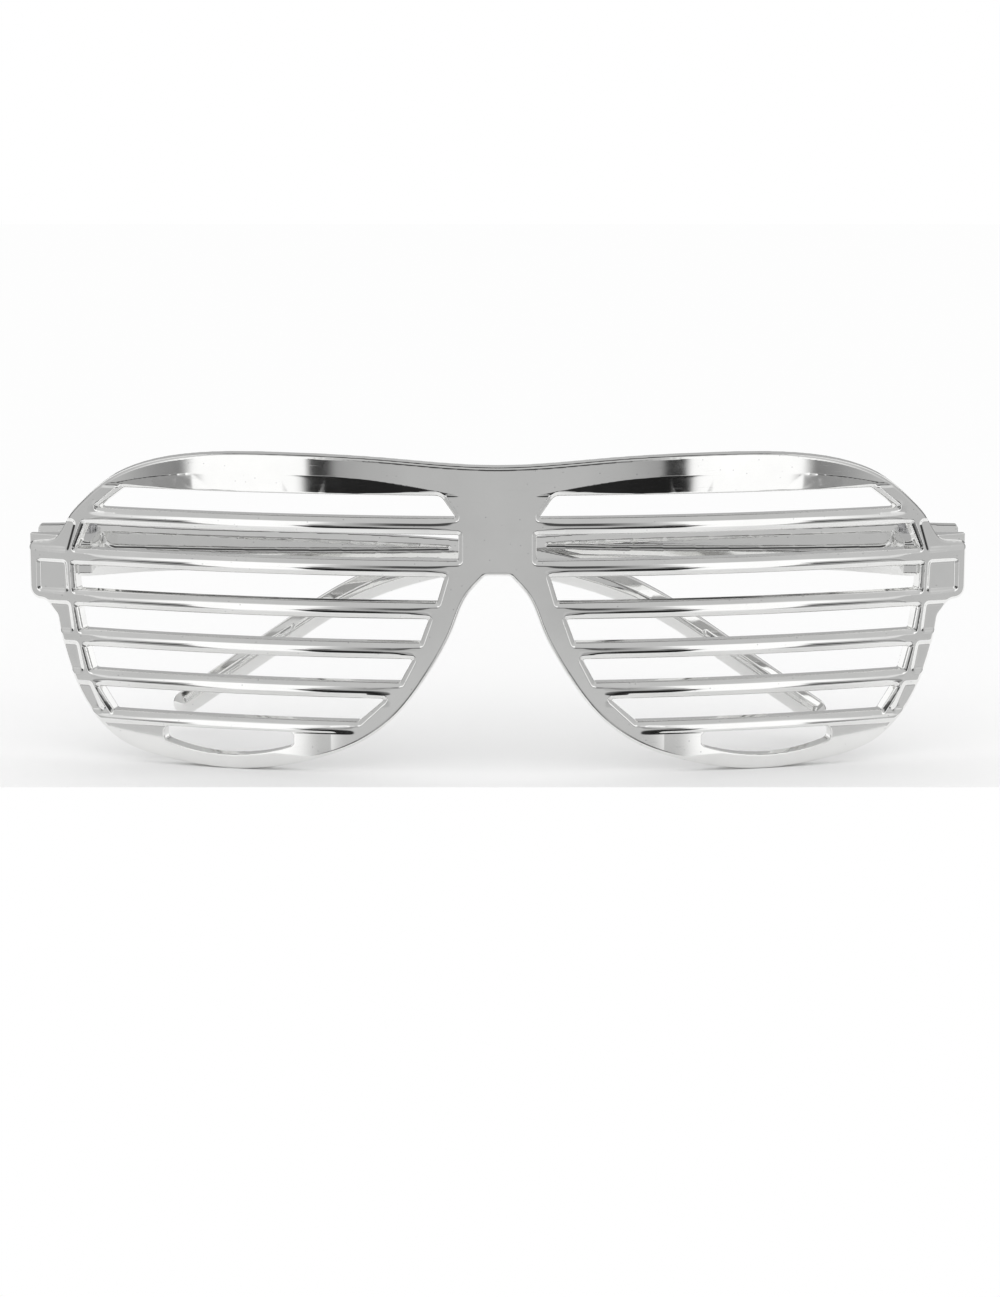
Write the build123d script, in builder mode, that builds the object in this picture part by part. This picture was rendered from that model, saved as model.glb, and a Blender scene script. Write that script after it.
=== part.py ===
from build123d import *
import math
import os

# Frame: X runs along the width, Z up, the front looks along -Y. The origin is the
# top of the nose arch on the front face. The temples are folded behind the front.

# Front: overall outline
rim_half_width = 70.6
lug_half_width = 75.0
top_height = 18.75
rim_drop = 31.9
wrap_radius = 190.0
plate_thickness = 2.6
outline_depth = 24.0
outline_reach = 40.0

# Outline as shares of the rim's half width and of its height above or below the origin
top_rim_shares = [(0.0, 0.912), (0.24, 0.966), (0.49, 1.0), (0.69, 0.965), (0.80, 0.87), (0.875, 0.73), (0.93, 0.55), (0.968, 0.385)]
side_shares = [(0.997, 0.29), (0.985, 0.42), (0.955, 0.62), (0.91, 0.785), (0.86, 0.885), (0.75, 0.965), (0.578, 1.0)]
nose_shares = [(0.42, 0.944), (0.31, 0.85), (0.215, 0.68), (0.15, 0.48), (0.096, 0.25), (0.06, 0.08), (0.033, 0.014), (0.0, 0.0)]
top_end_heading = (0.55, -1.0)
throat_heading = (-0.12, -1.0)
neck_heading = (1.0, -0.15)

# Neck above the lug and throat below it as shares of the lug's half width and of its top or low height
neck_shares = [(0.929, 1.69), (0.943, 1.26), (0.975, 1.07)]
throat_share = (0.951, 1.222)

# Slats and the openings between them
first_slat_height = 7.7
upper_slat_pitch = 6.7
lower_slat_pitch = 6.4
upper_slats = 3
slat_thickness = 2.7
slat_bevel_width = 0.78
slat_bevel_depth = 0.52
opening_corner_round = 0.1
first_nose_corner_round = 1.6
rim_recess_depth = 0.4
rim_recess_ridge = 0.3
rim_recess_round = 0.25
rim_recess_reach = 8.0
cut_overrun = 0.8
end_run = 6.0
end_section_run = 4.0
top_hole_height = 12.5
rim_edge_round = 0.5
rim_round_shares = [1.0, 0.9, 0.95, 1.04, 0.8, 0.7, 0.6, 0.4]
rim_slope_height = 2.9
rim_slope_depth = 0.5

# Ends of the openings as shares of the half width: upper corner, lower corner
nose_end_shares = [(0.126, 0.092), (0.087, 0.087), (0.118, 0.135), (0.154, 0.173), (0.190, 0.218), (0.252, 0.312)]
outer_end_shares = [(0.840, 0.904), (0.931, 0.955), (0.958, 0.955), (0.952, 0.943), (0.935, 0.921), (0.907, 0.873)]

# Slope above the first opening: places as shares of the half width, and size as a share of its full size
slope_station_shares = [
    (0.08, 0.02), (0.14, 0.3), (0.21, 0.6), (0.29, 0.85), (0.38, 1.0),
    (0.48, 1.0), (0.58, 1.0), (0.68, 0.95), (0.77, 0.7), (0.85, 0.3), (0.92, 0.02),
]

# Lowest slot, under the last slat
low_slot_inner = 33.2
low_slot_outer = 52.4
low_slot_middle = 42.0
low_slot_top = -26.4
low_slot_end = -27.1
low_slot_low = -28.7
low_slot_bevel_width = 0.9
low_slot_bevel_depth = 1.0

# Lug
lug_top = 2.9
lug_low = -6.3
lug_corner_round = 1.8
lug_tip_step = 0.6
lug_panel_inset = 1.0
lug_block_top = 4.15
lug_block_width = 7.4
lug_block_setback = 0.9
lug_block_round = 0.3

# Hinge
hinge_inset = 8.4
hinge_y = 26.6
knuckle_radius = 1.8
knuckle_clearance = 0.15
bracket_low = -2.0
bracket_top = 3.3
bracket_sink = 3.9
open_stop_gap = 0.15
slot_low = -0.5
slot_top = 1.6
slot_floor_gap = 2.3
screw_radius = 0.7
screw_fit_clearance = 0.05
screw_head_radius = 1.3
screw_head_height = 0.7
screw_slot_width = 0.4
screw_slot_depth = 0.35
screw_head_round = 0.2

# Temples, sizes along the temple are taken inboard from the hinge axis
temple_face_gap = 2.0
temple_butt_run = 8.8
temple_root_thickness = 3.2
temple_butt_heights = (3.4, -5.1)
temple_root_heights = (3.5, -5.1)
temple_shoulder_run = 8.2
temple_shoulder_heights = (3.1, -4.45)
temple_neck_run = 26.0
temple_neck_heights = (2.5, -4.1)
bend_run = 61.0
bend_heights = (1.0, -3.8)
hook_angle = 34.8
hook_half_height = 2.0
hook_start = (98.5, -13.1)
hook_length = 24.7
bend_middle_heights = (-2.1, -6.9)
bend_middle_run = 80.5
taper_start_run = 3.0
taper_end_run = 14.0
taper_end_thickness = 2.9
bend_thickness = 2.8
tip_thickness = 2.4
temple_edge_round = 0.4
temple_lower_bevel_height = 1.7
temple_lower_bevel_depth = 0.9
fold_lean = 1.6
outer_edge_share = 0.8
knuckle_web_sink = 0.8

# Recess and dimples on the inner face of a temple
recess_start_run = 1.6
recess_end_run = 59.0
recess_top_heights = (2.7, 0.5)
recess_low_heights = (-0.25, -0.5)
recess_middle_run = 27.0
recess_middle_height = -0.7
recess_depth = 0.45
recess_wall_angle = 35.0
recess_start_round = 2.4
recess_end_round = 0.4
groove_start_run = 2.0
groove_end_run = 24.5
groove_half_height = 0.55
groove_offset = 0.75
groove_depth = 0.3
dimple_radius = 0.45
dimple_places = [(-5.6, 2.6), (-4.6, 2.2), (-3.6, 2.65)]

half_slat = slat_thickness / 2
slat_heights = [first_slat_height - upper_slat_pitch * i for i in range(upper_slats)]
slat_heights += [slat_heights[-1] - lower_slat_pitch * (i + 1) for i in range(upper_slats)]
opening_tops = [top_hole_height] + [z - half_slat for z in slat_heights[:-1]]
opening_lows = [z + half_slat for z in slat_heights]
hinge_x = lug_half_width - hinge_inset
lug_block_inner = lug_half_width - lug_block_width
lug_block_back = hinge_y - temple_butt_run - open_stop_gap
bracket_front = lug_block_back - bracket_sink
wrap_axis = Axis((0, wrap_radius, 0), (0, 0, 1))
os.makedirs("parts", exist_ok=True)


def wrap_angle(x):
    return math.asin(x / wrap_radius)


def face_plane(x):
    """Plane on the front face at x, looking into the moulding, its local x pointing inboard."""
    angle = wrap_angle(x)
    return Plane(
        origin=(x, wrap_radius - wrap_radius * math.cos(angle), 0),
        x_dir=(-math.cos(angle), -math.sin(angle), 0),
        z_dir=(-math.sin(angle), math.cos(angle), 0),
    )


def opening_band(x_from, x_to, section):
    """Ring segment with the given (depth, height) section between two places on the front."""
    with BuildPart() as ring:
        with BuildSketch(Plane.YZ):
            with BuildLine():
                Polyline(*section, close=True)
            make_face()
        start = math.degrees(wrap_angle(x_from))
        sweep_angle = math.degrees(wrap_angle(x_to)) - start
        revolve(axis=wrap_axis, revolution_arc=sweep_angle)
    return ring.part.rotate(wrap_axis, start)


def rounded(part, edges, radius):
    """The part with the edges rounded, by a little less where the full radius doesn't fit."""
    for share in rim_round_shares:
        try:
            return part.fillet(radius * share, edges)
        except ValueError:
            continue
    return part


def end_loop(wall, facing, grow):
    """Outline of an opening's end, grown by an even amount."""
    (u0, z0), (u1, z1) = wall
    run, drop = u1 - u0, z1 - z0
    length = math.hypot(run, drop)
    push = grow * length / (-drop)
    high = z0 + grow
    low = z1 - grow
    u_high = u0 + run * (high - z0) / drop - facing * push
    u_low = u0 + run * (low - z0) / drop - facing * push
    back = facing * end_run
    return [(back, high), (u_high, high), (u_low, low), (back, low)]


def end_sketch(plane, loop, high_round, low_round):
    """Face with the given outline, its high and its low corners rounded."""
    with BuildSketch(plane) as outline:
        with BuildLine():
            Polyline(*loop, close=True)
        make_face()
        fillet(outline.vertices().group_by(Axis.Y)[-1], high_round)
        fillet(outline.vertices().group_by(Axis.Y)[0], low_round)
    return outline.sketch


def end_piece(x_section, wall, facing, high_round):
    """Rounded, bevelled end of an opening. wall holds the upper and the lower (x, z) of its end."""
    plane = face_plane(x_section)
    slant = math.cos(wrap_angle(x_section))
    local_wall = [((x_section - x) / slant, z) for x, z in wall]
    mouth_loop = end_loop(local_wall, facing, slat_bevel_width)
    throat_loop = end_loop(local_wall, facing, 0)
    wider = slat_bevel_width
    mouth = end_sketch(plane, mouth_loop, high_round + wider, opening_corner_round + wider)
    throat = end_sketch(plane.offset(slat_bevel_depth), throat_loop, high_round, opening_corner_round)
    with BuildPart() as piece:
        loft(sections=[mouth, throat], ruled=True)
        extrude(mouth, amount=-cut_overrun)
        extrude(throat, amount=plate_thickness)
        split(bisect_by=Plane(origin=plane.origin, z_dir=plane.x_dir * facing), keep=Keep.BOTTOM)
    return piece.part


def bevelled_section(top, low):
    """Depth and height points of an opening's cross-section, wide in front."""
    back = plate_thickness + cut_overrun
    return [
        (-cut_overrun, top + slat_bevel_width),
        (0, top + slat_bevel_width),
        (slat_bevel_depth, top),
        (back, top),
        (back, low),
        (slat_bevel_depth, low),
        (0, low - slat_bevel_width),
        (-cut_overrun, low - slat_bevel_width),
    ]


def recess_piece(wall, x_end):
    """Shallow recess in the rim between two slats, from a ridge beside the opening's end out to x_end."""
    start_gap = slat_bevel_width + rim_recess_ridge
    (x_high, z_high), (x_low, z_low) = wall
    plane = face_plane((x_high + x_low) / 2 + start_gap)
    slant = math.cos(wrap_angle(plane.origin.X))
    loop = []
    for x, z in [
        (x_high + start_gap, z_high + slat_bevel_width),
        (x_end, z_high + slat_bevel_width),
        (x_end, z_low - slat_bevel_width),
        (x_low + start_gap, z_low - slat_bevel_width),
    ]:
        loop.append(((plane.origin.X - x) / slant, z))
    with BuildPart() as recess:
        with BuildSketch(plane) as mouth:
            with BuildLine():
                Polyline(*loop, close=True)
            make_face()
            fillet(mouth.vertices(), rim_recess_round + rim_recess_depth * slat_bevel_width / slat_bevel_depth)
        wall_angle = math.degrees(math.atan2(slat_bevel_width, slat_bevel_depth))
        extrude(mouth.sketch, amount=rim_recess_depth, taper=wall_angle)
        extrude(mouth.sketch, amount=-cut_overrun)
    return recess.part


def slope_sketch(x, size_share):
    """Section of the gentle slope above the first opening, on the upright plane across the front at x."""
    angle = wrap_angle(x)
    across = Plane(
        origin=(x, wrap_radius - wrap_radius * math.cos(angle), 0),
        x_dir=(-math.sin(angle), math.cos(angle), 0),
        z_dir=(math.cos(angle), math.sin(angle), 0),
    )
    high = top_hole_height + rim_slope_height * size_share
    depth = rim_slope_depth * size_share
    with BuildSketch(across) as section:
        with BuildLine():
            Polyline(
                (-cut_overrun, high),
                (0, high),
                (depth, top_hole_height),
                (-cut_overrun, top_hole_height),
                close=True,
            )
        make_face()
    return section.sketch


# Cutters of the openings on the side x > 0
opening_cutters = []
nose_rounds = [first_nose_corner_round] + [opening_corner_round for z in slat_heights[1:]]
recess_ends = [lug_half_width + rim_recess_reach for z in slat_heights]
recess_ends[2] = lug_half_width - lug_panel_inset
for i, (top, low) in enumerate(zip(opening_tops, opening_lows)):
    nose = [rim_half_width * share for share in nose_end_shares[i]]
    outer = [rim_half_width * share for share in outer_end_shares[i]]
    nose_wall = list(zip(nose, (top, low)))
    outer_wall = list(zip(outer, (top, low)))
    x_nose = max(nose) + end_section_run
    x_outer = min(outer) - end_section_run
    opening_cutters.append(end_piece(x_nose, nose_wall, -1, nose_rounds[i]))
    opening_cutters.append(opening_band(x_nose, x_outer, bevelled_section(top, low)))
    opening_cutters.append(end_piece(x_outer, outer_wall, 1, opening_corner_round))
    if i > 0:
        opening_cutters.append(recess_piece(outer_wall, recess_ends[i]))

# Slope above the first opening, dying away towards the nose and the side
with BuildPart() as slope:
    slope_sections = [slope_sketch(rim_half_width * a, b) for a, b in slope_station_shares]
    loft(sections=slope_sections, ruled=True)
opening_cutters.append(slope.part)

# Lowest slot, its lower edge an arc
slot_plane = face_plane(low_slot_middle)
slot_points = []
for x, z in [
    (low_slot_inner, low_slot_top),
    (low_slot_outer, low_slot_top),
    (low_slot_outer, low_slot_end),
    (low_slot_middle, low_slot_low),
    (low_slot_inner, low_slot_end),
]:
    slot_points.append(((low_slot_middle - x) / math.cos(wrap_angle(low_slot_middle)), z))
with BuildPart() as low_slot:
    with BuildSketch(slot_plane) as slot_mouth:
        with BuildLine():
            Polyline(slot_points[4], slot_points[0], slot_points[1], slot_points[2])
            ThreePointArc(slot_points[2], slot_points[3], slot_points[4])
        make_face()
        offset(amount=low_slot_bevel_width, kind=Kind.INTERSECTION)
        fillet(slot_mouth.vertices(), opening_corner_round + low_slot_bevel_width)
    slot_taper = math.degrees(math.atan2(low_slot_bevel_width, low_slot_bevel_depth))
    extrude(slot_mouth.sketch, amount=low_slot_bevel_depth, taper=slot_taper)
    extrude(slot_mouth.sketch, amount=-cut_overrun)
    with BuildSketch(slot_plane) as slot_throat:
        with BuildLine():
            Polyline(slot_points[4], slot_points[0], slot_points[1], slot_points[2])
            ThreePointArc(slot_points[2], slot_points[3], slot_points[4])
        make_face()
        fillet(slot_throat.vertices(), opening_corner_round)
    extrude(amount=plate_thickness + cut_overrun)
opening_cutters.append(low_slot.part)

# Front: the half with x > 0, then its mirror image
top_points = [(rim_half_width * a, top_height * b) for a, b in top_rim_shares]
side_points = [(rim_half_width * a, -rim_drop * b) for a, b in side_shares + nose_shares]
neck_places = [(lug_half_width * a, lug_top * b) for a, b in neck_shares]
throat_place = (lug_half_width * throat_share[0], lug_low * throat_share[1])
lug_tip = (lug_half_width - lug_tip_step, lug_top)
lug_side_top = (lug_half_width, lug_top - lug_tip_step)
lug_side_low = (lug_half_width, lug_low + lug_corner_round)
lug_low_end = (lug_half_width - lug_corner_round, lug_low)
with BuildPart() as front_plate:
    with BuildSketch(Plane.XZ):
        with BuildLine():
            top_edge = Spline(*top_points, tangents=[(1, 0), top_end_heading])
            neck_points = [top_edge @ 1, *neck_places, lug_tip]
            neck = Spline(*neck_points, tangents=[top_edge % 1, neck_heading])
            Line(lug_tip, lug_side_top)
            Line(lug_side_top, lug_side_low)
            corner_arc = TangentArc(lug_side_low, lug_low_end, tangent=(0, -1))
            throat_points = [lug_low_end, throat_place, side_points[0]]
            throat_edge = Spline(*throat_points, tangents=[corner_arc % 1, throat_heading])
            Spline(*side_points, tangents=[throat_edge % 1, (-1, 0)])
            Line(side_points[-1], top_points[0])
        make_face()
    extrude(amount=-outline_depth)
    with BuildSketch(Plane.XY.offset(-outline_reach)):
        with Locations((0, wrap_radius)):
            Circle(wrap_radius)
            Circle(wrap_radius - plate_thickness, mode=Mode.SUBTRACT)
    extrude(amount=outline_reach * 2, mode=Mode.INTERSECT)
front_face = front_plate.faces().filter_by(GeomType.CYLINDER).sort_by(SortBy.AREA)[-2:].sort_by(Axis.Y)[0]
rim_edges = front_face.edges().filter_by(lambda edge: edge.center().X > cut_overrun)
with BuildPart() as front_frame:
    add(rounded(front_plate.part, rim_edges, rim_edge_round))
    for cutter in opening_cutters:
        add(cutter, mode=Mode.SUBTRACT)

# Lug block behind the plate
with BuildPart() as lug_block:
    with BuildSketch(Plane.XZ):
        with BuildLine():
            Polyline(
                (lug_block_inner, lug_low),
                (lug_half_width, lug_low),
                (lug_half_width, lug_block_top),
                (lug_block_inner, lug_block_top),
                close=True,
            )
        make_face()
    extrude(amount=-lug_block_back)
    upright = lug_block.edges().filter_by(Axis.Y)
    fillet(upright.group_by(Axis.Z)[-1].sort_by(Axis.X)[-1], lug_block_round)
    fillet(upright.group_by(Axis.Z)[0].sort_by(Axis.X)[-1], lug_corner_round)
    with BuildSketch(Plane.XY.offset(-outline_reach)):
        with Locations((0, wrap_radius)):
            Circle(wrap_radius - lug_block_setback)
    extrude(amount=outline_reach * 2, mode=Mode.INTERSECT)

# Fixed half of the hinge: two arms with a bored knuckle each
with BuildPart() as bracket:
    with BuildSketch(Plane.XY.offset(bracket_low)):
        with BuildLine():
            Polyline(
                (hinge_x - knuckle_radius, bracket_front),
                (hinge_x + knuckle_radius, bracket_front),
                (hinge_x + knuckle_radius, hinge_y),
                (hinge_x - knuckle_radius, hinge_y),
                close=True,
            )
        make_face()
        with Locations((hinge_x, hinge_y)):
            Circle(knuckle_radius)
    extrude(amount=bracket_top - bracket_low)
    with BuildSketch(Plane.XY.offset(slot_low)):
        with Locations((hinge_x, hinge_y - slot_floor_gap)):
            Rectangle(knuckle_radius * 3, knuckle_radius * 3, align=(Align.CENTER, Align.MIN))
    extrude(amount=slot_top - slot_low, mode=Mode.SUBTRACT)
    with BuildSketch(Plane.XY.offset(bracket_low)):
        with Locations((hinge_x, hinge_y)):
            Circle(screw_radius)
    extrude(amount=bracket_top - bracket_low, mode=Mode.SUBTRACT)

with front_frame:
    add(lug_block.part)
    add(bracket.part)
    mirror(about=Plane.YZ)
front_frame.part.label = "front_frame"
export_step(front_frame.part, "parts/front_frame.step")


# Temple: folded, its hinge axis at the origin, running towards -X, inner face towards the front
def along(run, height):
    return (-run, height)


hook_run = math.cos(math.radians(hook_angle))
hook_fall = math.sin(math.radians(hook_angle))
hook_heading = (-hook_run, -hook_fall)
hook_top_start = (-hook_start[0] - hook_half_height * hook_fall, hook_start[1] + hook_half_height * hook_run)
hook_low_start = (-hook_start[0] + hook_half_height * hook_fall, hook_start[1] - hook_half_height * hook_run)
hook_top_end = (hook_top_start[0] - hook_length * hook_run, hook_top_start[1] - hook_length * hook_fall)
hook_low_end = (hook_low_start[0] - hook_length * hook_run, hook_low_start[1] - hook_length * hook_fall)
hook_tip_run = hook_length + hook_half_height
hook_tip = (-hook_start[0] - hook_tip_run * hook_run, hook_start[1] - hook_tip_run * hook_fall)
temple_outer = temple_face_gap + temple_root_thickness
temple_end = -hook_tip[0] + temple_butt_run
top_run_points = [
    along(-temple_butt_run, temple_butt_heights[0]),
    along(0, temple_root_heights[0]),
    along(temple_shoulder_run, temple_shoulder_heights[0]),
    along(temple_neck_run, temple_neck_heights[0]),
    along(bend_run, bend_heights[0]),
    along(bend_middle_run, bend_middle_heights[0]),
    hook_top_start,
]
low_run_points = [
    hook_low_start,
    along(bend_middle_run, bend_middle_heights[1]),
    along(bend_run, bend_heights[1]),
    along(temple_neck_run, temple_neck_heights[1]),
    along(temple_shoulder_run, temple_shoulder_heights[1]),
    along(0, temple_root_heights[1]),
    along(-temple_butt_run, temple_butt_heights[1]),
]
with BuildPart() as temple:
    with BuildSketch(Plane.XZ):
        with BuildLine():
            Spline(*top_run_points, tangents=[(-1, 0), hook_heading])
            Line(hook_top_start, hook_top_end)
            ThreePointArc(hook_top_end, hook_tip, hook_low_end)
            Line(hook_low_end, hook_low_start)
            Spline(*low_run_points, tangents=[(hook_run, hook_fall), (1, 0)])
            Line(low_run_points[-1], top_run_points[0])
        make_face()
    extrude(amount=-temple_outer)
    with BuildSketch(Plane.XY.offset(-outline_reach)):
        with BuildLine():
            outer_root = (-taper_start_run, temple_outer)
            outer_taper = (-taper_end_run, temple_face_gap + taper_end_thickness)
            outer_bend = (-bend_run, temple_face_gap + bend_thickness)
            outer_end = (-temple_end, temple_face_gap + tip_thickness)
            Line((temple_butt_run, temple_face_gap), (temple_butt_run, temple_outer))
            Line((temple_butt_run, temple_outer), outer_root)
            outer_heading = (outer_end[0] - outer_bend[0], outer_end[1] - outer_bend[1])
            Spline(outer_root, outer_taper, outer_bend, tangents=[(-1, 0), outer_heading])
            Line(outer_bend, outer_end)
            Line(outer_end, (-temple_end, temple_face_gap))
            Line((-temple_end, temple_face_gap), (temple_butt_run, temple_face_gap))
        make_face()
    extrude(amount=outline_reach * 2, mode=Mode.INTERSECT)
    inner_edges = temple.edges().group_by(Axis.Y)[0]
    long_edges = inner_edges.filter_by(lambda edge: edge.length > hook_length * 2).sort_by(Axis.Z)
    hook_edges = inner_edges.filter_by(GeomType.LINE).sort_by(Axis.X)
    low_hook_edge = hook_edges[0:2].sort_by(Axis.Z)[0]
    inner_face = temple.faces().filter_by(Plane.XZ).sort_by(Axis.Y)[0]
    bevel_sizes = [temple_lower_bevel_height, temple_lower_bevel_depth]
    chamfer([long_edges[0], low_hook_edge], *bevel_sizes, reference=inner_face)
    outer_start = temple_face_gap + tip_thickness * outer_edge_share
    fillet(temple.edges().filter_by(lambda edge: edge.center().Y > outer_start), temple_edge_round)

    # Long recess with sloping walls, rounded at the root and narrowing towards the bend
    with BuildSketch(Plane.XZ.offset(-temple_face_gap)) as recess:
        with BuildLine():
            Polyline(
                along(recess_start_run, recess_low_heights[0]),
                along(recess_start_run, recess_top_heights[0]),
                along(recess_end_run, recess_top_heights[1]),
                along(recess_end_run, recess_low_heights[1]),
            )
            ThreePointArc(
                along(recess_end_run, recess_low_heights[1]),
                along(recess_middle_run, recess_middle_height),
                along(recess_start_run, recess_low_heights[0]),
            )
        make_face()
        start_corners = recess.vertices().group_by(Axis.X)[-1].sort_by(Axis.Y)
        fillet(start_corners[0], recess_start_round)
        fillet(start_corners[-1], recess_end_round)
        fillet(recess.vertices().group_by(Axis.X)[0], recess_end_round)
    extrude(amount=-recess_depth, taper=recess_wall_angle, mode=Mode.SUBTRACT)

    # Groove along the hook
    with BuildSketch(Plane.XZ.offset(-temple_face_gap)):
        groove_middle = (groove_start_run + groove_end_run) / 2
        groove_x = -hook_start[0] - groove_middle * hook_run - groove_offset * hook_fall
        groove_z = hook_start[1] - groove_middle * hook_fall + groove_offset * hook_run
        with Locations(Location((groove_x, groove_z), hook_angle)):
            SlotOverall(groove_end_run - groove_start_run, groove_half_height * 2)
    extrude(amount=-groove_depth, mode=Mode.SUBTRACT)

    # Three dimples near the end
    with Locations(*[(-run, temple_face_gap, height) for run, height in dimple_places]):
        Sphere(dimple_radius, mode=Mode.SUBTRACT)

    # Moving knuckle and the web that carries it
    knuckle_low = slot_low + knuckle_clearance
    knuckle_height = slot_top - slot_low - knuckle_clearance * 2
    with BuildSketch(Plane.XY.offset(knuckle_low)):
        Circle(knuckle_radius)
        with Locations((0, temple_face_gap / 2 + knuckle_web_sink / 2)):
            Rectangle(knuckle_radius * 2, temple_face_gap + knuckle_web_sink)
    extrude(amount=knuckle_height)
    with BuildSketch(Plane.XY.offset(knuckle_low)):
        Circle(screw_radius + screw_fit_clearance)
    extrude(amount=knuckle_height, mode=Mode.SUBTRACT)

with BuildPart() as temple_left:
    with Locations(Location((hinge_x, hinge_y, 0), (0, 0, -fold_lean))):
        add(temple.part)
temple_left.part.label = "temple_left"
export_step(temple_left.part, "parts/temple_left.step")

with BuildPart() as temple_twin:
    mirror(temple.part, about=Plane.YZ)
with BuildPart() as temple_right:
    with Locations(Location((-hinge_x, hinge_y, 0), (0, 0, -fold_lean))):
        add(temple_twin.part)
temple_right.part.label = "temple_right"
export_step(temple_right.part, "parts/temple_right.step")


# Hinge screws: slotted head on the upper knuckle, shank down through all three
def hinge_screw(x):
    with BuildPart() as screw:
        with BuildSketch(Plane.XY.offset(bracket_low)):
            with Locations((x, hinge_y)):
                Circle(screw_radius)
        extrude(amount=bracket_top - bracket_low)
        with BuildSketch(Plane.XY.offset(bracket_top)):
            with Locations((x, hinge_y)):
                Circle(screw_head_radius)
        extrude(amount=screw_head_height)
        top_rim = screw.edges().filter_by(GeomType.CIRCLE).group_by(Axis.Z)[-1]
        fillet(top_rim, screw_head_round)
        with BuildSketch(Plane.XY.offset(bracket_top + screw_head_height)):
            with Locations((x, hinge_y)):
                Rectangle(screw_head_radius * 3, screw_slot_width)
        extrude(amount=-screw_slot_depth, mode=Mode.SUBTRACT)
    return screw


hinge_screw_left = hinge_screw(hinge_x)
hinge_screw_left.part.label = "hinge_screw_left"
export_step(hinge_screw_left.part, "parts/hinge_screw_left.step")

hinge_screw_right = hinge_screw(-hinge_x)
hinge_screw_right.part.label = "hinge_screw_right"
export_step(hinge_screw_right.part, "parts/hinge_screw_right.step")
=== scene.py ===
"""Dresses the slatted party glasses in bright metallised plastic and sets the studio round them."""

import math

import bmesh
import bpy
import numpy as np
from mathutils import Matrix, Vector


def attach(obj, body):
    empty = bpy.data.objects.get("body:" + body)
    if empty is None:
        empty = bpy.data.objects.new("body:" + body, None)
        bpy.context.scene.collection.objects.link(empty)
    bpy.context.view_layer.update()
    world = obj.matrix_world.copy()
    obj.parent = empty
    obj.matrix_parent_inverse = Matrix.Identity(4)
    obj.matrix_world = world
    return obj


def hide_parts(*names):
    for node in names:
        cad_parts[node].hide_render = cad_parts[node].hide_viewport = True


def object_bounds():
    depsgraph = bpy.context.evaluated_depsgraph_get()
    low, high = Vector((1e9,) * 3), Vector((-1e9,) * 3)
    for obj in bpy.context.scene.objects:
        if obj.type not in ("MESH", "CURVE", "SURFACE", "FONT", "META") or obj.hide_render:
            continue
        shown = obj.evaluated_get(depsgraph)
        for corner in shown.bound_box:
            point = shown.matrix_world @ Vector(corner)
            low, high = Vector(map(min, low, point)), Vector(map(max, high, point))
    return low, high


bl_info = {
    "name": "Slatted party glasses",
    "version": (1, 0, 0),
    "blender": (4, 5, 0),
    "location": "3D View > Sidebar > Glasses",
    "description": "Dresses the slatted party glasses in bright metallised plastic and sets their studio",
    "category": "Object",
}

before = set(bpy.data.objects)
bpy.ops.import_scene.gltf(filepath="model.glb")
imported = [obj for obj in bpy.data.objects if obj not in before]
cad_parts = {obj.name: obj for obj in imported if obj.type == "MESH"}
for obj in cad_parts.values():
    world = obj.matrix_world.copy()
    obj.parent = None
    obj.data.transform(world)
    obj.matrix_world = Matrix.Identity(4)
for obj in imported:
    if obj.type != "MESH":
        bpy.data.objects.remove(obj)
CAD_BOX = [list(corner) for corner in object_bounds()]

# Radius of the curve that the front is bent to
WRAP_RADIUS = 0.190

# Heights of the slats' crests from the highest slat down, and for each slat the length along the curve, from
# the middle of the nose arch, at which its crown begins; all the crowns end at the same length
SLAT_HEIGHTS = (0.0077, 0.0010, -0.0057, -0.0121, -0.0185, -0.0249)
SLAT_STARTS = (0.0066, 0.0072, 0.0102, 0.0128, 0.0166, 0.0225)
SLAT_STOP = 0.0665

# Lengths over which a crown grows from nothing and dies away
START_FADE = 0.004
STOP_FADE = 0.003

# Half height of the band that a crown lies in, how softly that band ends, and the depth to which it reaches
CROWN_BAND = 0.0026
BAND_FADE = 0.001
CREST_DEPTH = 0.0012

# Vertices of a moulding that lie closer than this are one
WELD = 2e-7


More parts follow.
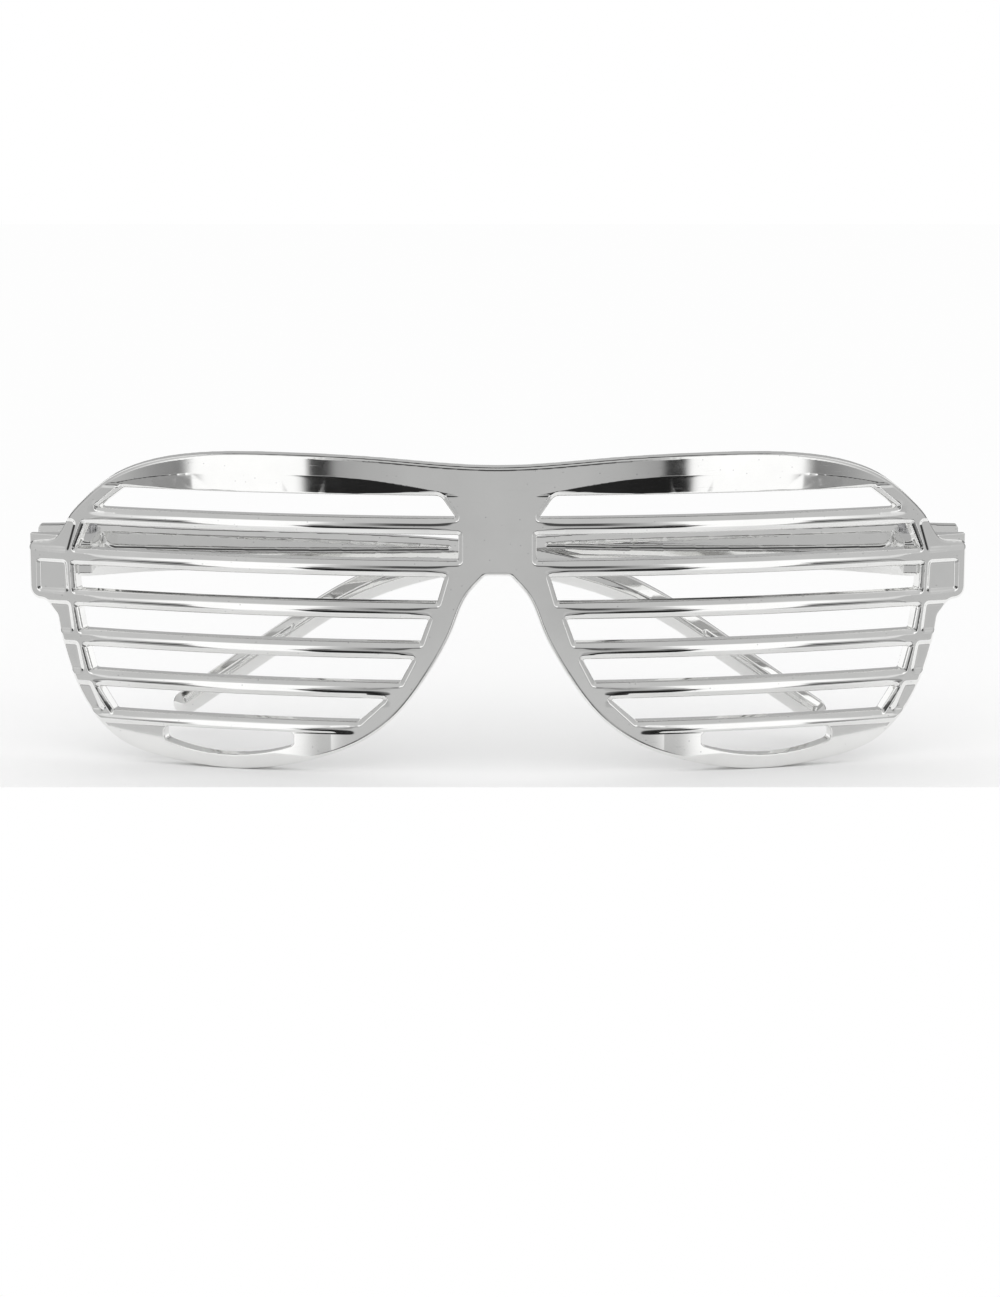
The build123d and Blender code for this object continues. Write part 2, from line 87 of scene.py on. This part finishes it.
# Finishes
def metallised_plastic(name, settings, seed):
    """Bright vacuum-metallised plastic: fine orange peel, faint haze, dust specks and hairline wear."""
    material = bpy.data.materials.new(name)
    material.use_nodes = True
    nodes, links = material.node_tree.nodes, material.node_tree.links
    shader = nodes["Principled BSDF"]
    shader.inputs["Metallic"].default_value = 1.0
    place = nodes.new("ShaderNodeTexCoord")
    shift = nodes.new("ShaderNodeMapping")
    shift.inputs["Location"].default_value = (seed, seed * 0.7, -seed)
    links.new(place.outputs["Object"], shift.inputs["Vector"])

    # Soft cloudiness of the metal coat
    cloud = nodes.new("ShaderNodeTexNoise")
    cloud.inputs["Scale"].default_value = 90.0
    cloud.inputs["Detail"].default_value = 5.0
    cloud.inputs["Roughness"].default_value = 0.6
    links.new(shift.outputs["Vector"], cloud.inputs["Vector"])

    # Hairline scratches, long along the width
    stretch = nodes.new("ShaderNodeMapping")
    stretch.inputs["Scale"].default_value = (140.0, 900.0, 2600.0)
    stretch.inputs["Rotation"].default_value = (0.1, 0.25, 0.3)
    links.new(place.outputs["Object"], stretch.inputs["Vector"])
    hairline = nodes.new("ShaderNodeTexNoise")
    hairline.inputs["Scale"].default_value = 1.0
    hairline.inputs["Detail"].default_value = 3.0
    links.new(stretch.outputs["Vector"], hairline.inputs["Vector"])
    hairline_range = nodes.new("ShaderNodeMapRange")
    hairline_range.inputs["From Min"].default_value = 0.62
    hairline_range.inputs["From Max"].default_value = 0.78
    links.new(hairline.outputs["Fac"], hairline_range.inputs["Value"])

    # Pinpoint specks where dust was caught under the coat
    specks = nodes.new("ShaderNodeTexVoronoi")
    specks.inputs["Scale"].default_value = 700.0
    links.new(shift.outputs["Vector"], specks.inputs["Vector"])
    speck_range = nodes.new("ShaderNodeMapRange")
    speck_range.inputs["From Min"].default_value = 0.10
    speck_range.inputs["From Max"].default_value = 0.03
    links.new(specks.outputs["Distance"], speck_range.inputs["Value"])

    # Colour: bright metal, a trace darker where the coat is cloudy or specked
    tone = nodes.new("ShaderNodeValToRGB")
    bright = list(settings.coat_colour)
    tone.color_ramp.elements[0].position = 0.3
    tone.color_ramp.elements[0].color = [c * 0.93 for c in bright] + [1.0]
    tone.color_ramp.elements[1].position = 0.7
    tone.color_ramp.elements[1].color = bright + [1.0]
    links.new(cloud.outputs["Fac"], tone.inputs["Fac"])
    speckled = nodes.new("ShaderNodeMixRGB")
    speckled.blend_type = "MULTIPLY"
    speckled.inputs["Color2"].default_value = (0.7, 0.7, 0.71, 1.0)
    links.new(speck_range.outputs["Result"], speckled.inputs["Fac"])
    links.new(tone.outputs["Color"], speckled.inputs["Color1"])
    links.new(speckled.outputs["Color"], shader.inputs["Base Color"])

    # Roughness: mirror bright, hazier in the cloud and on the hairlines
    haze = nodes.new("ShaderNodeMapRange")
    haze.inputs["From Min"].default_value = 0.3
    haze.inputs["From Max"].default_value = 0.75
    haze.inputs["To Min"].default_value = settings.coat_roughness
    haze.inputs["To Max"].default_value = settings.coat_roughness + 0.05
    links.new(cloud.outputs["Fac"], haze.inputs["Value"])
    worn = nodes.new("ShaderNodeMath")
    worn.operation = "MULTIPLY_ADD"
    worn.inputs[1].default_value = settings.wear * 0.12
    links.new(hairline_range.outputs["Result"], worn.inputs[0])
    links.new(haze.outputs["Result"], worn.inputs[2])
    links.new(worn.outputs["Value"], shader.inputs["Roughness"])

    # Relief: moulding ripple under the coat and the hairlines in it
    ripple = nodes.new("ShaderNodeTexNoise")
    ripple.inputs["Scale"].default_value = 260.0
    ripple.inputs["Detail"].default_value = 1.0
    links.new(shift.outputs["Vector"], ripple.inputs["Vector"])
    ripple_bump = nodes.new("ShaderNodeBump")
    ripple_bump.inputs["Strength"].default_value = settings.ripple
    ripple_bump.inputs["Distance"].default_value = 0.00002
    links.new(ripple.outputs["Fac"], ripple_bump.inputs["Height"])
    scratch_bump = nodes.new("ShaderNodeBump")
    scratch_bump.invert = True
    scratch_bump.inputs["Strength"].default_value = settings.wear * 0.2
    scratch_bump.inputs["Distance"].default_value = 0.000004
    links.new(hairline_range.outputs["Result"], scratch_bump.inputs["Height"])
    links.new(ripple_bump.outputs["Normal"], scratch_bump.inputs["Normal"])
    links.new(scratch_bump.outputs["Normal"], shader.inputs["Normal"])
    return material


def screw_steel(name):
    """Bright steel of the screws, with a fine grain."""
    material = bpy.data.materials.new(name)
    material.use_nodes = True
    nodes, links = material.node_tree.nodes, material.node_tree.links
    shader = nodes["Principled BSDF"]
    shader.inputs["Metallic"].default_value = 1.0
    place = nodes.new("ShaderNodeTexCoord")
    grain = nodes.new("ShaderNodeTexNoise")
    grain.inputs["Scale"].default_value = 1500.0
    grain.inputs["Detail"].default_value = 6.0
    links.new(place.outputs["Object"], grain.inputs["Vector"])
    tone = nodes.new("ShaderNodeValToRGB")
    tone.color_ramp.elements[0].color = (0.42, 0.42, 0.43, 1.0)
    tone.color_ramp.elements[1].color = (0.66, 0.66, 0.67, 1.0)
    links.new(grain.outputs["Fac"], tone.inputs["Fac"])
    links.new(tone.outputs["Color"], shader.inputs["Base Color"])
    rough = nodes.new("ShaderNodeMapRange")
    rough.inputs["To Min"].default_value = 0.18
    rough.inputs["To Max"].default_value = 0.38
    links.new(grain.outputs["Fac"], rough.inputs["Value"])
    links.new(rough.outputs["Result"], shader.inputs["Roughness"])
    relief = nodes.new("ShaderNodeBump")
    relief.inputs["Strength"].default_value = 0.3
    relief.inputs["Distance"].default_value = 0.00001
    links.new(grain.outputs["Fac"], relief.inputs["Height"])
    links.new(relief.outputs["Normal"], shader.inputs["Normal"])
    return material


# Surfaces
def vertex_places(mesh):
    """Places of a mesh's vertices, a row for each."""
    flat = np.empty(len(mesh.vertices) * 3, dtype=np.float32)
    mesh.vertices.foreach_get("co", flat)
    return flat.reshape(-1, 3)


def set_places(mesh, places):
    """Moves a mesh's vertices to the places."""
    mesh.vertices.foreach_set("co", np.ascontiguousarray(places, dtype=np.float32).ravel())
    mesh.update()


def unrolled(places):
    """Places on the curved front laid flat: length along the curve, depth and height."""
    x, y, z = places.T
    reach = np.hypot(x, WRAP_RADIUS - y)
    return np.stack([WRAP_RADIUS * np.arctan2(x, WRAP_RADIUS - y), WRAP_RADIUS - reach, z], axis=1)


def rolled(places):
    """Opposite of unrolled."""
    along, depth, z = places.T
    reach = WRAP_RADIUS - depth
    angle = along / WRAP_RADIUS
    return np.stack([reach * np.sin(angle), WRAP_RADIUS - reach * np.cos(angle), z], axis=1)


def crowned(places, half_height, radius):
    """Laid-flat places with the crest of each slat turned into a low crown."""
    along, depth, height = places.T
    reach = np.abs(along)
    near_crest = np.clip(1.0 - depth / CREST_DEPTH, 0.0, 1.0)
    push = np.zeros_like(depth)
    for slat, start in zip(SLAT_HEIGHTS, SLAT_STARTS):
        gap = np.abs(height - slat)
        started = np.clip((reach - start) / START_FADE, 0.0, 1.0)
        fade = started * np.clip((SLAT_STOP - reach) / STOP_FADE, 0.0, 1.0)
        # The lowest slat passes into the plate under it, so its crown does not end below
        below_last = (slat == SLAT_HEIGHTS[-1]) & (height < slat)
        fade *= np.where(below_last, 1.0, np.clip((CROWN_BAND - gap) / BAND_FADE, 0.0, 1.0))
        push += np.minimum(gap, half_height) ** 2 / (2.0 * radius) * fade * near_crest
    return np.stack([along, depth + push, height], axis=1)


def coated_skin(node, finish, curved):
    """Copy of a moulding with softly rounded edges, as under a thick bright coat."""
    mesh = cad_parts[node].data.copy()
    mesh.materials.clear()
    work = bmesh.new()
    work.from_mesh(mesh)
    bmesh.ops.remove_doubles(work, verts=work.verts, dist=WELD)
    work.to_mesh(mesh)
    work.free()
    if curved:
        set_places(mesh, unrolled(vertex_places(mesh)))
    rough = bpy.data.objects.new(node + "_rough", mesh)
    bpy.context.scene.collection.objects.link(rough)
    skin = rough.modifiers.new("skin", "REMESH")
    skin.mode = "VOXEL"
    skin.voxel_size = finish.skin_step
    skin.use_smooth_shade = True
    relax = rough.modifiers.new("relax", "SMOOTH")
    relax.factor = 0.5
    relax.iterations = finish.skin_relax
    made = bpy.data.meshes.new_from_object(rough.evaluated_get(bpy.context.evaluated_depsgraph_get()))
    made.name = node + "_skin"
    if curved:
        set_places(made, rolled(crowned(vertex_places(made), finish.crown_reach, finish.crown_radius)))
    bpy.data.objects.remove(rough)
    piece = bpy.data.objects.new(node + "_skin", made)
    bpy.context.scene.collection.objects.link(piece)
    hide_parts(node)
    return piece


class GlassesFinish(bpy.types.PropertyGroup):
    """Bright coat and rounded skin of the mouldings"""

    coat_colour: bpy.props.FloatVectorProperty(
        name="Coat colour",
        description="Colour of the metal coat",
        subtype="COLOR",
        size=3,
        min=0.0,
        max=1.0,
        default=(0.90, 0.90, 0.89),
    )
    coat_roughness: bpy.props.FloatProperty(
        name="Coat roughness",
        description="Least roughness of the metal coat",
        default=0.035,
        min=0.0,
        max=1.0,
        subtype="FACTOR",
    )
    wear: bpy.props.FloatProperty(
        name="Wear",
        description="Strength of the hairlines in the coat",
        default=0.5,
        min=0.0,
        max=1.0,
        subtype="FACTOR",
    )
    ripple: bpy.props.FloatProperty(
        name="Ripple",
        description="Strength of the moulding ripple under the coat",
        default=0.12,
        min=0.0,
        max=1.0,
        subtype="FACTOR",
    )
    skin_step: bpy.props.FloatProperty(
        name="Skin step",
        description="Grain of the rounded skin over a moulding",
        default=0.00015,
        min=0.00005,
        max=0.001,
        unit="LENGTH",
        precision=5,
    )
    skin_relax: bpy.props.IntProperty(
        name="Skin relax",
        description="How far the skin's edges are rounded",
        default=2,
        min=0,
        max=20,
    )
    crown_reach: bpy.props.FloatProperty(
        name="Crown reach",
        description="Half height of the crown on a slat's crest",
        default=0.00062,
        min=0.0,
        max=0.001,
        unit="LENGTH",
        precision=5,
    )
    crown_radius: bpy.props.FloatProperty(
        name="Crown radius",
        description="Radius of the crown on a slat's crest",
        default=0.0018,
        min=0.0005,
        max=0.01,
        unit="LENGTH",
        precision=5,
    )


class GlassesStudio(bpy.types.PropertyGroup):
    """Camera and studio walls"""

    distance: bpy.props.FloatProperty(
        name="Camera distance",
        description="Camera to the nose arch",
        default=0.541,
        min=0.1,
        max=3.0,
        unit="LENGTH",
    )
    elevation: bpy.props.FloatProperty(
        name="Camera height angle",
        description="Angle of the camera above the nose arch",
        default=math.radians(9.9),
        subtype="ANGLE",
    )
    pitch: bpy.props.FloatProperty(
        name="Camera pitch",
        description="Downward tilt of the camera",
        default=math.radians(11.097),
        subtype="ANGLE",
    )
    lens: bpy.props.FloatProperty(
        name="Lens",
        description="Focal length",
        default=96.3,
        min=10.0,
        max=300.0,
        unit="CAMERA",
    )
    booth_radius: bpy.props.FloatProperty(
        name="Booth radius",
        description="Distance of the studio walls",
        default=1.6,
        min=0.7,
        max=5.0,
        unit="LENGTH",
    )


# Where in the coat's pattern the front lies, and each temple with its moving body and the same place for it
FRONT_SEED = 0.31
TEMPLES = (("temple_left", "left_temple", 0.77), ("temple_right", "right_temple", 1.21))


# Pieces
class GLASSES_OT_front(bpy.types.Operator):
    """Coats the slatted front"""

    bl_idname = "glasses.front"
    bl_label = "Slatted front"

    def execute(self, context):
        finish = context.scene.glasses_finish
        coat = metallised_plastic("front coat", finish, FRONT_SEED)
        front = coated_skin("front_frame", finish, True)
        front.data.materials.append(coat)
        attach(front, "front")
        return {"FINISHED"}


class GLASSES_OT_temples(bpy.types.Operator):
    """Coats the two folding temples"""

    bl_idname = "glasses.temples"
    bl_label = "Temples"

    def execute(self, context):
        finish = context.scene.glasses_finish
        for name, body, seed in TEMPLES:
            temple = coated_skin(name, finish, False)
            temple.data.materials.append(metallised_plastic(name.replace("_", " ") + " coat", finish, seed))
            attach(temple, body)
        return {"FINISHED"}


class GLASSES_OT_screws(bpy.types.Operator):
    """Finishes the two hinge screws"""

    bl_idname = "glasses.screws"
    bl_label = "Hinge screws"

    def execute(self, context):
        steel = screw_steel("screw steel")
        for name in ("hinge_screw_left", "hinge_screw_right"):
            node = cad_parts[name]
            node.data.materials.clear()
            node.data.materials.append(steel)
        return {"FINISHED"}


# Studio
# Brightness round the studio by azimuth from the camera's side, in degrees, the same on left and right
ZENITH_TONES = [(0.0, 0.06), (180.0, 0.06)]
HIGH_TONES = [(0.0, 0.58), (60.0, 0.60), (90.0, 0.95), (120.0, 0.95), (130.0, 0.45), (180.0, 0.60)]
CARD_TONES = [
    (0.0, 0.55), (21.0, 0.55), (22.4, 1.15), (41.0, 1.15), (46.0, 0.62), (90.0, 0.50), (113.0, 1.0),
    (150.0, 1.0), (165.0, 0.40), (180.0, 0.50),
]
UPPER_TONES = [
    (0.0, 0.06), (12.0, 0.08), (16.5, 0.42), (20.0, 0.70), (22.3, 1.15), (38.0, 1.15), (44.0, 0.85),
    (52.0, 0.60), (90.0, 0.45), (98.0, 0.05), (128.0, 0.04), (130.0, 1.1), (150.0, 1.1), (152.0, 0.06),
    (165.0, 0.40), (180.0, 0.50),
]
LEVEL_TONES = [
    (0.0, 0.53), (10.0, 0.52), (15.0, 0.46), (19.0, 0.36), (19.4, 0.03), (22.2, 0.02), (22.5, 1.15),
    (36.3, 1.15), (36.7, 0.20), (40.0, 0.30), (45.0, 0.52), (60.0, 0.56), (90.0, 0.45), (98.0, 0.05),
    (128.0, 0.04), (130.0, 1.1), (150.0, 1.1), (152.0, 0.06), (165.0, 0.40), (180.0, 0.50),
]
EDGE_TONES = [
    (0.0, 0.56), (21.5, 0.60), (23.5, 1.15), (36.3, 1.15), (38.5, 0.60), (60.0, 0.58), (90.0, 0.50),
    (98.0, 0.08), (128.0, 0.06), (130.0, 0.9), (150.0, 0.9), (165.0, 0.40), (180.0, 0.50),
]
LOW_TONES = [
    (0.0, 0.46), (12.5, 0.40), (15.0, 0.05), (24.2, 0.01), (24.7, 1.15), (37.0, 1.15), (37.6, 0.02),
    (43.5, 0.06), (50.0, 0.50), (90.0, 0.50), (98.0, 0.10), (128.0, 0.10), (130.0, 0.95), (150.0, 0.95),
    (165.0, 0.30), (180.0, 0.30),
]
FLAG_TONES = [
    (0.0, 0.40), (5.0, 0.32), (7.5, 0.03), (24.2, 0.01), (24.7, 1.15), (37.0, 1.15), (37.8, 0.26),
    (40.0, 0.34), (50.0, 0.50), (90.0, 0.50), (98.0, 0.10), (128.0, 0.10), (130.0, 0.95), (150.0, 0.95),
    (165.0, 0.30), (180.0, 0.30),
]
TABLE_TONES = [(0.0, 0.70), (15.0, 0.75), (30.0, 0.90), (180.0, 0.85)]

# Bands of the walls above the table's own, from the lowest up: between its two heights, in degrees from the
# glasses, each one takes over from the band below
BANDS = (
    (-44.0, -40.0, LOW_TONES),
    (-34.5, -33.0, FLAG_TONES),
    (-24.0, -22.5, LOW_TONES),
    (-15.5, -13.5, EDGE_TONES),
    (-12.0, -11.0, LEVEL_TONES),
    (-7.0, -2.0, UPPER_TONES),
    (20.0, 26.0, CARD_TONES),
    (36.0, 46.0, HIGH_TONES),
    (62.0, 70.0, ZENITH_TONES),
)

# Greatest brightness that a tone can have
MOST_GLOW = 1.2

# Floor: half its width, where it begins in front of the glasses and ends behind them, and its colour
FLOOR_HALF = 0.9
FLOOR_FRONT = -0.008
FLOOR_BACK = 1.2
FLOOR_WHITE = 0.985

# How far the camera stands to the right of the nose arch
CAMERA_SHIFT = 0.00039


def azimuth_ramp(tree, azimuth, tones):
    """Colour ramp that holds the studio's brightness by azimuth."""
    ramp = tree.nodes.new("ShaderNodeValToRGB")
    points = ramp.color_ramp.elements
    while len(points) < len(tones):
        points.new(1.0)
    for point, (degrees, tone) in zip(points, tones):
        point.position = degrees / 180.0
        level = tone / MOST_GLOW
        point.color = (level, level, level, 1.0)
    tree.links.new(azimuth, ramp.inputs["Fac"])
    return ramp.outputs["Color"]


def math_node(tree, operation, *values):
    """Result of a sum on numbers and on other nodes' results."""
    node = tree.nodes.new("ShaderNodeMath")
    node.operation = operation
    for socket, value in zip(node.inputs, values):
        if isinstance(value, float):
            socket.default_value = value
        else:
            tree.links.new(value, socket)
    return node.outputs["Value"]


def blended(tree, height, low_edge, high_edge, below, above):
    """Changes softly from one brightness to another between two heights."""
    fade = tree.nodes.new("ShaderNodeMapRange")
    fade.interpolation_type = "SMOOTHSTEP"
    fade.inputs["From Min"].default_value = math.sin(math.radians(low_edge))
    fade.inputs["From Max"].default_value = math.sin(math.radians(high_edge))
    tree.links.new(height, fade.inputs["Value"])
    mix = tree.nodes.new("ShaderNodeMixRGB")
    tree.links.new(fade.outputs["Result"], mix.inputs["Fac"])
    tree.links.new(below, mix.inputs["Color1"])
    tree.links.new(above, mix.inputs["Color2"])
    return mix.outputs["Color"]


def studio_light(radius):
    """Light of the studio's walls: cards, flags and softboxes by azimuth, changing with height."""
    material = bpy.data.materials.new("studio walls")
    material.use_nodes = True
    tree = material.node_tree
    tree.nodes.clear()
    place = tree.nodes.new("ShaderNodeTexCoord")
    parts = tree.nodes.new("ShaderNodeSeparateXYZ")
    tree.links.new(place.outputs["Object"], parts.inputs["Vector"])
    side = math_node(tree, "ABSOLUTE", parts.outputs["X"])
    toward = math_node(tree, "MULTIPLY", parts.outputs["Y"], -1.0)
    azimuth = math_node(tree, "DIVIDE", math_node(tree, "ARCTAN2", side, toward), math.pi)
    height = math_node(tree, "DIVIDE", parts.outputs["Z"], radius)
    wall = azimuth_ramp(tree, azimuth, TABLE_TONES)
    for low_edge, high_edge, tones in BANDS:
        wall = blended(tree, height, low_edge, high_edge, wall, azimuth_ramp(tree, azimuth, tones))
    glow = tree.nodes.new("ShaderNodeEmission")
    glow.inputs["Strength"].default_value = MOST_GLOW
    tree.links.new(wall, glow.inputs["Color"])
    out = tree.nodes.new("ShaderNodeOutputMaterial")
    tree.links.new(glow.outputs["Emission"], out.inputs["Surface"])
    return material


def studio_walls(radius):
    """Sphere round the glasses that only their reflections see."""
    mesh = bpy.data.meshes.new("studio walls")
    work = bmesh.new()
    bmesh.ops.create_uvsphere(work, u_segments=96, v_segments=48, radius=radius)
    work.to_mesh(mesh)
    work.free()
    walls = bpy.data.objects.new("studio_walls", mesh)
    walls.data.materials.append(studio_light(radius))
    bpy.context.scene.collection.objects.link(walls)
    walls.visible_camera = False
    walls.visible_shadow = False
    walls.visible_diffuse = False


def pale_floor(height):
    """White floor under the glasses, which takes their shadow."""
    mesh = bpy.data.meshes.new("floor")
    corners = [
        (-FLOOR_HALF, FLOOR_FRONT, height),
        (FLOOR_HALF, FLOOR_FRONT, height),
        (FLOOR_HALF, FLOOR_BACK, height),
        (-FLOOR_HALF, FLOOR_BACK, height),
    ]
    mesh.from_pydata(corners, [], [(0, 1, 2, 3)])
    floor = bpy.data.objects.new("floor", mesh)
    pale = bpy.data.materials.new("floor white")
    pale.use_nodes = True
    shader = pale.node_tree.nodes["Principled BSDF"]
    shader.inputs["Base Color"].default_value = (FLOOR_WHITE, FLOOR_WHITE, FLOOR_WHITE, 1.0)
    shader.inputs["Roughness"].default_value = 1.0
    shader.inputs["Specular IOR Level"].default_value = 0.0
    floor.data.materials.append(pale)
    bpy.context.scene.collection.objects.link(floor)


def white_world():
    """Even white light from all round, which is also the backdrop."""
    world = bpy.data.worlds.new("studio")
    world.use_nodes = True
    background = world.node_tree.nodes["Background"]
    background.inputs["Color"].default_value = (1.0, 1.0, 1.0, 1.0)
    background.inputs["Strength"].default_value = 1.0
    bpy.context.scene.world = world


def front_camera(studio):
    """Camera before the glasses, a little above them."""
    lens = bpy.data.cameras.new("camera")
    lens.lens = studio.lens
    lens.sensor_width = 36.0
    lens.clip_start = 0.01
    camera = bpy.data.objects.new("camera", lens)
    back_run = studio.distance * math.cos(studio.elevation)
    rise = studio.distance * math.sin(studio.elevation)
    camera.location = (CAMERA_SHIFT, -back_run, rise)
    camera.rotation_euler = (math.pi / 2 - studio.pitch, 0.0, 0.0)
    bpy.context.scene.collection.objects.link(camera)
    bpy.context.scene.camera = camera


class GLASSES_OT_stage(bpy.types.Operator):
    """Sets the floor, the studio walls, the world and the camera"""

    bl_idname = "glasses.stage"
    bl_label = "Studio"

    def execute(self, context):
        studio = context.scene.glasses_studio
        pale_floor(CAD_BOX[0][2])
        studio_walls(studio.booth_radius)
        white_world()
        front_camera(studio)
        context.scene.view_settings.view_transform = "Standard"
        return {"FINISHED"}


class GLASSES_PT_sidebar(bpy.types.Panel):
    """Settings and steps of the glasses, in the order in which they are used"""

    bl_label = "Slatted party glasses"
    bl_idname = "GLASSES_PT_sidebar"
    bl_space_type = "VIEW_3D"
    bl_region_type = "UI"
    bl_category = "Glasses"

    def draw(self, context):
        layout = self.layout
        finish = context.scene.glasses_finish
        studio = context.scene.glasses_studio
        for name in ("coat_colour", "coat_roughness", "wear", "ripple"):
            layout.prop(finish, name)
        for name in ("skin_step", "skin_relax", "crown_reach", "crown_radius"):
            layout.prop(finish, name)
        for operator in ("glasses.front", "glasses.temples", "glasses.screws"):
            layout.operator(operator)
        for name in ("distance", "elevation", "pitch", "lens", "booth_radius"):
            layout.prop(studio, name)
        layout.operator("glasses.stage")


CLASSES = (
    GlassesFinish,
    GlassesStudio,
    GLASSES_OT_front,
    GLASSES_OT_temples,
    GLASSES_OT_screws,
    GLASSES_OT_stage,
    GLASSES_PT_sidebar,
)


def register():
    for cls in CLASSES:
        bpy.utils.register_class(cls)
    bpy.types.Scene.glasses_finish = bpy.props.PointerProperty(type=GlassesFinish)
    bpy.types.Scene.glasses_studio = bpy.props.PointerProperty(type=GlassesStudio)


def unregister():
    del bpy.types.Scene.glasses_studio
    del bpy.types.Scene.glasses_finish
    for cls in reversed(CLASSES):
        bpy.utils.unregister_class(cls)


def main():
    """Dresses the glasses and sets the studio."""
    register()
    bpy.ops.glasses.front()
    bpy.ops.glasses.temples()
    bpy.ops.glasses.screws()
    bpy.ops.glasses.stage()


if __name__ == "__main__":
    main()
